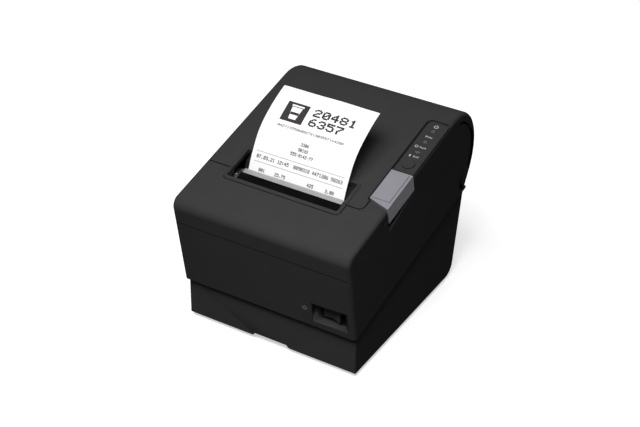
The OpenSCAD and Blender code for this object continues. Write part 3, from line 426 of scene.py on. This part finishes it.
CASE_RADIUS, BASE_RADIUS = 3.0, 1.2
cast_shell("lid_shell", CASE_LINE, 1, HALF_WIDTH, CASE_RADIUS, rear=True)
cast_shell("front_cover", CASE_LINE, 1, HALF_WIDTH, CASE_RADIUS)
cast_shell("main_case", CASE_LINE, 1, HALF_WIDTH, CASE_RADIUS)
cast_shell("base_case", BASE_LINE, -1, BASE_HALF_WIDTH, BASE_RADIUS)
softened("open_lever", 0.8, 3)
softened("control_panel", 0.3, 2, groove=0.6)
softened("feed_button", 0.35, 3)
softened("power_rocker", 0.45, 3)
softened("status_lenses", 0.25, 3)
softened("rubber_feet", 0.5, 3)

# ---------- receipt ----------
# the paper leaves the slot and curls back in three arcs: (radius, turn)
EXIT_Y, EXIT_Z, EXIT_HEADING = -43.18, 113.4, 70.0
CURL = ((120.0, 12.0), (45.0, 22.0), (110.0, 16.0))
PAPER_LENGTH = sum(radius * math.radians(turn) for radius, turn in CURL)


def paper_at(distance):
    """Point (y, z) and heading, in degrees, at a distance along the paper from the slot."""
    y, z, heading = EXIT_Y, EXIT_Z, EXIT_HEADING
    left = distance
    for radius, turn in CURL:
        bend = min(left / radius, math.radians(turn))
        a = math.radians(heading)
        y += radius * (math.sin(a) - math.sin(a - bend))
        z += radius * (math.cos(a - bend) - math.cos(a))
        heading -= math.degrees(bend)
        left -= bend * radius
        if left <= 1e-9:
            break
    return y, z, heading


def ripple(x, distance):
    """Slight wave across the free end of the sheet."""
    rise = max(0.0, distance / PAPER_LENGTH) ** 2
    return rise * (0.22 * math.sin(x * 0.075 + 0.8) + 0.10 * math.sin(x * 0.17))


def on_paper(x, distance, out=0.0):
    """x from the paper's middle; out is the height above its printed side."""
    y, z, heading = paper_at(distance)
    a = math.radians(heading)
    out = out + ripple(x, distance)
    return Vector((PAPER_X + x, y - math.sin(a) * out, z + math.cos(a) * out)) * MM


def receipt_sheet():
    bm = bmesh.new()
    across, along = 32, 72
    sides = []
    for out in (0.0, -PAPER_THICKNESS):
        rows = []
        for j in range(along + 1):
            distance = PAPER_LENGTH * j / along
            rows.append([bm.verts.new(on_paper(PAPER_WIDTH * (i / across - 0.5), distance, out))
                         for i in range(across + 1)])
        sides.append(rows)
    front, back = sides
    for j in range(along):
        for i in range(across):
            bm.faces.new((front[j][i], front[j][i + 1], front[j + 1][i + 1], front[j + 1][i]))
            bm.faces.new((back[j][i], back[j + 1][i], back[j + 1][i + 1], back[j][i + 1]))
        for i in (0, across):
            bm.faces.new((front[j][i], back[j][i], back[j + 1][i], front[j + 1][i]))
    for i in range(across):
        for j in (0, along):
            bm.faces.new((front[j][i], back[j][i], back[j][i + 1], front[j][i + 1]))
    sheet = add_piece("receipt_sheet", bm, "paper", "lid")
    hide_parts("receipt")


DIGITS = {
    "0": "01110 10001 10011 10101 11001 10001 01110", "1": "00100 01100 00100 00100 00100 00100 01110",
    "2": "01110 10001 00001 00110 01000 10000 11111", "3": "01110 10001 00001 00110 00001 10001 01110",
    "4": "00010 00110 01010 10010 11111 00010 00010", "5": "11111 10000 11110 00001 00001 10001 01110",
    "6": "00110 01000 10000 11110 10001 10001 01110", "7": "11111 00001 00010 00100 01000 01000 01000",
    "8": "01110 10001 10001 01110 10001 10001 01110", "9": "01110 10001 10001 01111 00001 00010 01100",
    ".": "00000 00000 00000 00000 00000 01100 01100", "-": "00000 00000 00000 01110 00000 00000 00000",
    ":": "00000 01100 01100 00000 01100 01100 00000", " ": "00000 00000 00000 00000 00000 00000 00000",
}
INK_HEIGHT = 0.02
INK_STEP_ALONG, INK_STEP_ACROSS = 1.5, 3.0


def ink_patch(bm, x0, x1, d0, d1):
    """Ink over part of the sheet, following its curl."""
    steps = max(1, math.ceil((d1 - d0) / INK_STEP_ALONG))
    columns = max(1, math.ceil((x1 - x0) / INK_STEP_ACROSS))
    grid = [[bm.verts.new(on_paper(x0 + (x1 - x0) * i / columns, d0 + (d1 - d0) * j / steps, INK_HEIGHT))
             for i in range(columns + 1)]
            for j in range(steps + 1)]
    for j in range(steps):
        for i in range(columns):
            bm.faces.new((grid[j][i], grid[j][i + 1], grid[j + 1][i + 1], grid[j + 1][i]))


def print_digits(bm, text, x, top, height, pitch, weight=0.0):
    """A row of dot-matrix digits: x is its left end, top its far edge up the sheet, weight extra stroke."""
    cell = height / 7
    wide = pitch * 0.8 / 5
    for k, char in enumerate(text):
        for row, bits in enumerate(DIGITS[char].split()):
            col = 0
            while col < 5:
                if bits[col] == "0":
                    col += 1
                    continue
                end = col
                while end < 5 and bits[end] == "1":
                    end += 1
                left = x + k * pitch + col * wide
                ink_patch(bm, left - weight, left + (end - col) * wide + weight,
                          top - (row + 1) * cell - weight, top - row * cell + weight)
                col = end


def dashed_line(bm, x0, x1, at, dash=1.1, space=0.35, thick=0.36):
    x = x0
    while x < x1:
        ink_patch(bm, x, min(x + dash, x1), at, at + thick)
        x += dash + space


def badge(bm, x0, x1, d0, d1):
    """A solid square with a takeaway cup left white in it."""
    middle = (x0 + x1) / 2
    cup_top, cup_low = d1 - 3.6, d0 + 2.6
    lid_top = d1 - 2.2
    rows = 26
    for j in range(rows):
        a = d0 + (d1 - d0) * j / rows
        b = d0 + (d1 - d0) * (j + 1) / rows
        level = (a + b) / 2
        if cup_low < level < cup_top:
            half = 2.9 + 1.4 * (level - cup_low) / (cup_top - cup_low)
        elif cup_top + 0.5 < level < lid_top:
            half = 5.0
        else:
            half = 0.0
        if half:
            ink_patch(bm, x0, middle - half, a, b)
            ink_patch(bm, middle + half, x1, a, b)
        else:
            ink_patch(bm, x0, x1, a, b)
    band_low = cup_low + (cup_top - cup_low) * 0.35
    ink_patch(bm, middle - 3.4, middle + 3.4, band_low, band_low + 2.2)


def receipt_print():
    bm = bmesh.new()
    badge(bm, -28.5, -10.5, 44.8, 61.2)
    # order number in heavy digits beside the badge
    for text, top in (("20481", 60.6), ("6357", 52.4)):
        print_digits(bm, text, -5.6, top, 6.2, 7.2, 0.24)
    print_digits(bm, "0427193506082741903557164208", -27.6, 41.6, 1.9, 1.96, 0.06)
    for text, top in (("3306", 32.6), ("50182", 28.6), ("555-0142-77", 24.6)):
        print_digits(bm, text, -0.85 * len(text) - 0.5, top, 2.4, 1.7, 0.08)
    dashed_line(bm, -36.5, 36.5, 18.0)
    print_digits(bm, "07.03.21 12:45  0090318 4471206 58263", -35.5, 15.8, 2.6, 1.93, 0.08)
    dashed_line(bm, -36.5, 36.5, 10.4)
    for top, row in ((6.4, ("001", "25.75", "425", "2.00")), (2.9, ("002", "10.50", "310", "1.00"))):
        for text, x in zip(row, (-31.5, -18.0, 9.0, 24.0)):
            print_digits(bm, text, x, top, 2.5, 1.8, 0.08)
    add_piece("receipt_print", bm, "ink", "lid")


receipt_sheet()
receipt_print()


# ---------- slot trim, painted seam shade and lever plate ---
def tilted_block(bm, x0, x1, y0, y1, low, high):
    """A box along the sloping top; heights are measured from the slope."""
    outline = ((x0, y0), (x1, y0), (x1, y1), (x0, y1))
    corners = [bm.verts.new(on_slope(x, y, h)) for h in (low, high) for x, y in outline]
    for face in ((0, 3, 2, 1), (4, 5, 6, 7), (0, 1, 5, 4), (1, 2, 6, 5), (2, 3, 7, 6), (3, 0, 4, 7)):
        bm.faces.new([corners[k] for k in face])


def trim_piece(name, surface, body, block, radius=0.0):
    """A box along the sloping top as a piece of its own, its edges rounded where a radius is given."""
    bm = bmesh.new()
    tilted_block(bm, *block)
    if radius:
        bmesh.ops.bevel(bm, geom=bm.edges[:], offset=radius * MM, segments=3, profile=0.5, affect="EDGES",
                        clamp_overlap=True)
    add_piece(name, bm, surface, body)


# dark carrier in front of the tear bar, and a small screw at its left end
trim_piece("tear_bar_carrier", "seam", "chassis", (-45.4, 37.2, -62.4, -51.4, -4.95, -4.6))
screw_place = Matrix.Translation(on_slope(-47.0, -55.6, -4.1)) @ Matrix.Rotation(SLOPE, 4, "X")
screw = bmesh.new()
bmesh.ops.create_cone(screw, cap_ends=True, segments=20, radius1=0.9 * MM, radius2=0.8 * MM, depth=0.8 * MM,
                      matrix=screw_place)
add_piece("tear_bar_screw", screw, "steel", "chassis")

STRIP_HEIGHT, STRIP_HALF_SPAN = 0.025, 70.0
IN_PLANE = 0.03


def seam_strips(name, node, normal, point, keep, inner, outer):
    """Thin strips of painted shade along the edges where a plane face of a node meets a wall.

    The plane has a normal and a point; keep() takes an edge's middle in millimetres. A strip reaches inner
    millimetres over the face and outer millimetres past its edge.
    """
    source = bmesh.new()
    source.from_mesh(NODES[node].data)
    bmesh.ops.remove_doubles(source, verts=source.verts, dist=2e-6)
    source.normal_update()
    strips = bmesh.new()
    for edge in source.edges:
        if len(edge.link_faces) != 2:
            continue
        if any(abs((v.co - point).dot(normal)) > IN_PLANE * MM for v in edge.verts):
            continue
        tops = [f for f in edge.link_faces if f.normal.dot(normal) > 0.99]
        walls = [f for f in edge.link_faces if abs(f.normal.dot(normal)) < 0.5]
        a, b = edge.verts[0].co, edge.verts[1].co
        if len(tops) != 1 or len(walls) != 1 or not keep((a + b) / 2 / MM):
            continue
        out = (b - a).cross(normal).normalized()
        if out.dot(tops[0].calc_center_median() - a) > 0:
            out = -out
        lift = normal * STRIP_HEIGHT * MM
        corners = [a - out * inner * MM, b - out * inner * MM,
                   b + out * outer * MM, a + out * outer * MM]
        for corner in corners:
            corner.x = max(-STRIP_HALF_SPAN * MM, min(STRIP_HALF_SPAN * MM, corner.x))
        strips.faces.new([strips.verts.new(c + lift) for c in corners])
    source.free()
    add_piece(name, strips, "seam", BODY_OF[node])


SLOPE_NORMAL = Vector((0, -math.sin(SLOPE), math.cos(SLOPE)))
FRONT_NORMAL = Vector((0, -1, -FRONT_LEAN)).normalized()
# painted shade: dark strips along the lid's edges, round the slot rim and along the cover's front seam stand
# in for the shade in the gaps
seam_strips("lid_seams", "lid_shell", SLOPE_NORMAL, on_slope(0, 0), lambda p: abs(p.x) < 72.0, 0.25, 0.65)
seam_strips("cover_rim_seam", "front_cover", SLOPE_NORMAL, on_slope(0, 0),
            lambda p: -55 < p.x < 46 and p.y > -68, 0.7, 0.1)
seam_strips("cover_low_seam", "front_cover", FRONT_NORMAL, on_front(0, 80),
            lambda p: abs(p.x) < 71.0, 0.1, 0.35)

# raised grip plate on top of the opening lever
trim_piece("lever_plate", "lever_plastic", BODY_OF["open_lever"], (55.9, 70.3, -40.5, -11.2, 0.55, 1.2), 0.3)


# ---------- marks on panel and front ----------
def raised_marks(name, outlines, place, height, surface, body):
    """Thin marks on a surface: each outline is a list of (u, v) in millimetres that place() puts there."""
    bm = bmesh.new()
    for outline in outlines:
        low = [bm.verts.new(place(u, v, -0.05)) for u, v in outline]
        high = [bm.verts.new(place(u, v, height)) for u, v in outline]
        bm.faces.new(high)
        bm.faces.new(list(reversed(low)))
        for i, vertex in enumerate(low):
            following = (i + 1) % len(low)
            bm.faces.new((vertex, low[following], high[following], high[i]))
    add_piece(name, bm, surface, body)


def bar(u, v, width, height, angle=0.0):
    c, s = math.cos(math.radians(angle)), math.sin(math.radians(angle))
    w, h = width / 2, height / 2
    corners = ((-w, -h), (w, -h), (w, h), (-w, h))
    return [(u + p * c - q * s, v + p * s + q * c) for p, q in corners]


def ring(u, v, radius, thick, start=0.0, sweep=360.0, steps=24):
    """Quads that make up a ring or part of one."""
    quads = []
    for i in range(steps):
        a0 = math.radians(start + sweep * i / steps)
        a1 = math.radians(start + sweep * (i + 1) / steps)
        quads.append([(u + r * math.cos(a), v + r * math.sin(a))
                      for r, a in ((radius - thick, a0), (radius, a0), (radius, a1), (radius - thick, a1))])
    return quads


def power_mark(u, v, size):
    """A ring open at the top with a bar in the gap."""
    stroke = size * 0.13
    return ring(u, v, size / 2, stroke, 125.0, 290.0) + [bar(u, v + size * 0.34, stroke, size * 0.5)]


def arrow_mark(u, v, size):
    head = [(u - size * 0.32, v + size * 0.05), (u + size * 0.32, v + size * 0.05), (u, v + size * 0.5)]
    return [head, bar(u, v - size * 0.2, size * 0.2, size * 0.52)]


def tick_row(u, v, heights, pitch=1.0):
    """A row of short upright ticks on one line, centred on u."""
    start, foot, stroke = u - pitch * (len(heights) - 1) / 2, v - 0.7, 0.42
    return [bar(start + k * pitch, foot + h / 2, stroke, h) for k, h in enumerate(heights)]


PANEL_X = 63.3
PANEL_TOP = 0.05
panel_marks = power_mark(PANEL_X, 43.0, 3.2)
panel_marks += tick_row(PANEL_X, 31.2, (1.6, 1.1, 1.1, 1.1, 1.1, 1.1), 0.95)
panel_marks += ring(PANEL_X - 3.6, 19.2, 1.25, 0.35)
panel_marks += tick_row(PANEL_X + 1.4, 19.2, (1.6, 1.1, 1.1, 1.1, 1.1), 1.05)
panel_marks += arrow_mark(PANEL_X - 3.4, 8.6, 2.6)
panel_marks += tick_row(PANEL_X + 1.2, 8.6, (1.6, 1.1, 1.1, 1.6), 1.1)
panel_marks += [bar(PANEL_X, 13.7, 3.4, 0.3)]
raised_marks("panel_marks", panel_marks, lambda u, v, h: on_slope(u, v, PANEL_TOP + h), 0.03, "marking",
             "chassis")

raised_marks("front_power_mark", power_mark(32.6, 51.2, 3.6), on_front, 0.04, "front_marking", "chassis")
raised_marks("front_pip", [bar(68.7, 50.3, 0.9, 2.6)], on_front, 0.25, "case_plastic", "chassis")


# ---------- floor, light and camera ----------
def seen_ray(tree):
    """1 where a surface is seen straight, in a reflection or through something clear."""
    path = tree.nodes.new("ShaderNodeLightPath")
    reached = path.outputs["Is Camera Ray"]
    for kind in ("Is Glossy Ray", "Is Transmission Ray"):
        either = tree.nodes.new("ShaderNodeMath")
        either.operation = "MAXIMUM"
        tree.links.new(reached, either.inputs[0])
        tree.links.new(path.outputs[kind], either.inputs[1])
        reached = either.outputs[0]
    return reached


def mix_where_seen(tree, hidden, seen, target):
    pick = tree.nodes.new("ShaderNodeMixShader")
    tree.links.new(seen_ray(tree), pick.inputs["Fac"])
    tree.links.new(hidden, pick.inputs[1])
    tree.links.new(seen, pick.inputs[2])
    tree.links.new(pick.outputs[0], target)


FLOOR_HALF_SIZE, FLOOR_GREY = 6.0, 0.62


def backdrop_floor(glow, bounce):
    """A floor that looks white where it is lit, and throws only a little light up at the printer."""
    bm = bmesh.new()
    bmesh.ops.create_grid(bm, x_segments=1, y_segments=1, size=FLOOR_HALF_SIZE)
    mesh = bpy.data.meshes.new("studio_floor")
    bm.to_mesh(mesh)
    bm.free()
    floor = bpy.data.objects.new("studio_floor", mesh)
    bpy.context.scene.collection.objects.link(floor)
    mat = bpy.data.materials.new("pale_floor")
    mat.use_nodes = True
    tree = mat.node_tree
    tree.nodes.clear()
    white = tree.nodes.new("ShaderNodeEmission")
    white.inputs["Color"].default_value = (1, 1, 1, 1)
    white.inputs["Strength"].default_value = glow
    lit = tree.nodes.new("ShaderNodeBsdfDiffuse")
    lit.inputs["Color"].default_value = (FLOOR_GREY, FLOOR_GREY, FLOOR_GREY, 1)
    both = tree.nodes.new("ShaderNodeAddShader")
    tree.links.new(lit.outputs[0], both.inputs[0])
    tree.links.new(white.outputs[0], both.inputs[1])
    dim = tree.nodes.new("ShaderNodeBsdfDiffuse")
    dim.inputs["Color"].default_value = (bounce, bounce, bounce, 1)
    out = tree.nodes.new("ShaderNodeOutputMaterial")
    mix_where_seen(tree, dim.outputs[0], both.outputs[0], out.inputs["Surface"])
    mesh.materials.append(mat)


def place_lamp(name, data, location, target):
    lamp = bpy.data.objects.new(name, data)
    bpy.context.scene.collection.objects.link(lamp)
    lamp.location = location
    lamp.rotation_mode = "QUATERNION"
    lamp.rotation_quaternion = (Vector(target) - Vector(location)).to_track_quat("-Z", "Y")


def soft_lamp(name, location, target, size, power):
    data = bpy.data.lights.new(name, "AREA")
    data.shape = "RECTANGLE"
    data.size, data.size_y = size
    data.energy = power
    place_lamp(name, data, location, target)


def feathered_spot(name, location, target, angle, power):
    data = bpy.data.lights.new(name, "SPOT")
    data.energy = power
    data.spot_size, data.spot_blend = math.radians(angle), 1.0
    data.shadow_soft_size = 0.12
    place_lamp(name, data, location, target)


def studio_world(strength):
    """A faint even fill, with plain white behind everything."""
    world = bpy.data.worlds.new("studio_world")
    bpy.context.scene.world = world
    world.use_nodes = True
    tree = world.node_tree
    light = tree.nodes["Background"]
    light.inputs["Color"].default_value = (1, 1, 1, 1)
    light.inputs["Strength"].default_value = strength
    white = tree.nodes.new("ShaderNodeBackground")
    white.inputs["Strength"].default_value = 1.0
    mix_where_seen(tree, light.outputs[0], white.outputs[0], tree.nodes["World Output"].inputs["Surface"])


backdrop_floor(glow=0.55, bounce=0.10)
studio_world(0.11)
soft_lamp("key", (0.0, -0.62, 1.22), (0, 0, 0.1), (1.0, 0.8), 19.5)
soft_lamp("behind", (-0.1, 1.5, 0.75), (0, 0, 0.1), (1.2, 0.8), 9.0)
feathered_spot("nose_glow", (0.16, -0.62, 1.0), (0.035, -0.115, 0.10), 15.0, 26.0)

CAMERA_PLACE = Vector((0.46867, -0.81111, 0.67014))
CAMERA_AZIMUTH, CAMERA_ELEVATION, CAMERA_ROLL = 30.455, 32.639, 0.993
FOCAL_PIXELS, PHOTO_WIDTH = 1492.7, 640


def photo_camera():
    data = bpy.data.cameras.new("photo_camera")
    data.sensor_width = 36.0
    data.lens = FOCAL_PIXELS * data.sensor_width / PHOTO_WIDTH
    camera = bpy.data.objects.new("photo_camera", data)
    bpy.context.scene.collection.objects.link(camera)
    a, e, r = (math.radians(v) for v in (CAMERA_AZIMUTH, CAMERA_ELEVATION, CAMERA_ROLL))
    forward = Vector((-math.sin(a) * math.cos(e), math.cos(a) * math.cos(e), -math.sin(e)))
    level = Vector((math.cos(a), math.sin(a), 0))
    up = level.cross(forward)
    right = level * math.cos(r) + up * math.sin(r)
    up = up * math.cos(r) - level * math.sin(r)
    turn = Matrix((right, up, -forward)).transposed()
    camera.matrix_world = Matrix.Translation(CAMERA_PLACE) @ turn.to_4x4()
    bpy.context.scene.camera = camera


photo_camera()
bpy.context.scene.view_settings.view_transform = "Standard"
